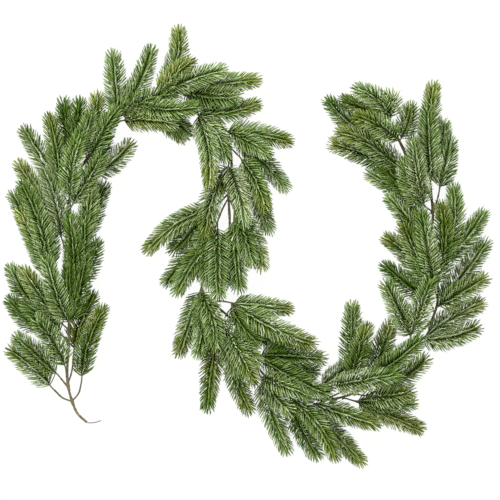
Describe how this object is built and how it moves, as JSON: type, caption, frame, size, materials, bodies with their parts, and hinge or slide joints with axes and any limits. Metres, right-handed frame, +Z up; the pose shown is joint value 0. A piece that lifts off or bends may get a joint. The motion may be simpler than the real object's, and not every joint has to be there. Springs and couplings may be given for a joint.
{
  "type": "christmas garland",
  "caption": "Evergreen garland of soft moulded needles on one wrapped stem, laid in an S curve with a bare wire tail.",
  "frame": {"origin": "bottom centre of the garland's bounding box, on the surface it lies on", "axes": "+Z up out of the surface, +X along the longest side of the S, +Y from the tail's end towards the arch"},
  "size_m": [0.7387, 0.6684, 0.0922],
  "materials": {
    "needles_green": "soft satin",
    "needles_olive": "soft satin",
    "needles_grey": "soft satin",
    "stem_wrap": "matt crepe",
    "wire": "dull"
  },
  "bodies": {
    "root": {"arch_back": "needles_green", "arch_crown": "needles_olive", "arch_hang": "needles_olive", "arch_inner": "needles_grey", "bend_front": "needles_green", "bend_right": "needles_grey", "column": "needles_green", "column_left": "needles_green", "column_right": "needles_green", "crest": "needles_grey", "crest_right": "needles_green", "hand_high": "needles_grey", "hand_low": "needles_olive", "head_low": "needles_green", "head_mid": "needles_green", "head_top": "needles_olive", "horns": "needles_green", "inner_low": "needles_grey", "keel": "needles_olive", "keel_right": "needles_green", "left_edge": "needles_olive", "left_fan": "needles_olive", "left_hand": "needles_green", "left_high": "needles_grey", "left_skirt": "needles_green", "left_trio": "needles_green", "low_crown": "needles_green", "neck": "needles_green", "neck_right": "needles_grey", "plume": "needles_green", "prow": "needles_green", "prow_front": "needles_grey", "right_fan": "needles_green", "rise": "needles_green", "rise_low": "needles_olive", "rise_skirt": "needles_green", "shoulder_out": "needles_grey", "shoulder_top": "needles_olive", "side_arms": "needles_green", "stem": "stem_wrap", "summit": "needles_olive", "sweep": "needles_olive", "tail_fork": "needles_green", "tail_inner": "needles_olive", "tail_left": "needles_olive", "tail_low": "needles_green", "tail_right": "needles_green", "tassel": "needles_green", "tassel_right": "needles_green", "thumb": "needles_olive", "top_front": "needles_olive", "top_right": "needles_green", "under_fan": "needles_green", "waist": "needles_green", "waist_low": "needles_grey", "wing": "needles_olive", "wing_low": "needles_green", "wire_end": "wire"}
  },
  "joints": []
}
